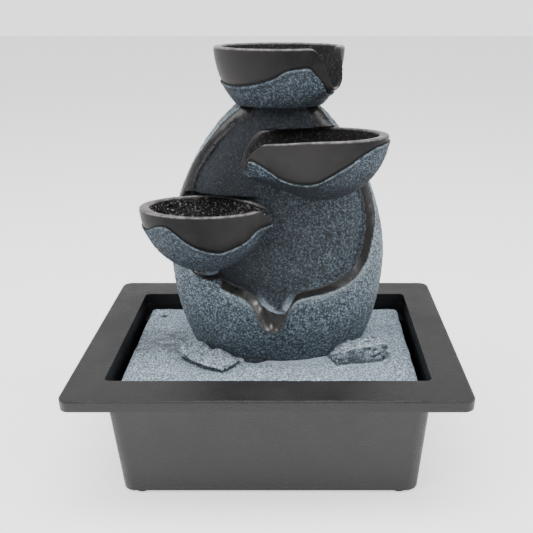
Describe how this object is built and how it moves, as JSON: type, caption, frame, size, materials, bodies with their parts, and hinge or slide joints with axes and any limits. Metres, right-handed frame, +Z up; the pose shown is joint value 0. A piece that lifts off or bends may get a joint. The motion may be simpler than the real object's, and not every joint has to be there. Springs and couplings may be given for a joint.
{
  "type": "tabletop water fountain",
  "caption": "Tabletop water fountain: egg-shaped stone sculpture with tiered pouring bowls on a plate in a wide-rimmed rectangular basin, with a pump inside.",
  "frame": {"origin": "on the table top under the middle of the basin", "axes": "+Z up, which is the longest extent; -Y towards the viewer at the front, Y is the shortest extent; X along the basin's length"},
  "size_m": [0.225, 0.156, 0.2534],
  "materials": {
    "basin_plastic": "satin, fine moulded grain, warm charcoal",
    "sculpture_stone": "matte cast stone, fine grit, slate blue-grey",
    "bowl_glaze": "satin near-black glaze over grey cast stone",
    "plate_stone": "matte fine grit, pale blue-grey",
    "rock_stone": "matte rough stone",
    "rubber": "matte",
    "clear_hose": "smooth soft vinyl",
    "pump_plastic": "fine moulded texture, black",
    "lamination_steel": "stacked sheet edges",
    "copper_wire": "lacquered copper winding",
    "potting_resin": "glossy cast resin",
    "magnet_ferrite": "matte sintered",
    "shaft_ceramic": "polished"
  },
  "bodies": {
    "base": {"basin": "basin_plastic", "rubber_feet": "rubber", "cord_grommet": "rubber", "pump_housing": "pump_plastic", "stator_core": "lamination_steel", "stator_coil": "copper_wire", "pump_potting": "potting_resin", "pump_gland": "rubber", "chamber_cover": "pump_plastic", "chamber_seal": "rubber", "rotor_shaft": "shaft_ceramic", "front_bush": "rubber", "rear_bush": "rubber", "suction_cups": "rubber"},
    "sculpture": {"stone_plate": "plate_stone", "rock_left": "rock_stone", "rock_right": "rock_stone", "sculpture_body": "sculpture_stone", "top_bowl": "bowl_glaze", "right_bowl": "bowl_glaze", "left_bowl": "bowl_glaze", "inlet_fitting": "pump_plastic", "hose": "clear_hose"},
    "rotor": {"impeller": "pump_plastic", "rotor_magnet": "magnet_ferrite"},
    "intake_cover": {"intake_cover": "pump_plastic"},
    "flow_slider": {"flow_slider": "pump_plastic"}
  },
  "joints": [
    {"name": "lift_off", "type": "slide", "parent": "base", "child": "sculpture", "axis": [0, 0, 1], "range_m": [0, 0.09]},
    {"name": "rotor_spin", "type": "hinge", "parent": "base", "child": "rotor", "pos_m": [0.006, 0.013, 0.032], "axis": [1, 0, 0], "continuous": true},
    {"name": "cover_pull", "type": "slide", "parent": "base", "child": "intake_cover", "axis": [-1, 0, 0], "range_m": [0, 0.012]},
    {"name": "flow_gate", "type": "slide", "parent": "intake_cover", "child": "flow_slider", "axis": [0, 0, 1], "range_m": [0, 0.008]}
  ]
}
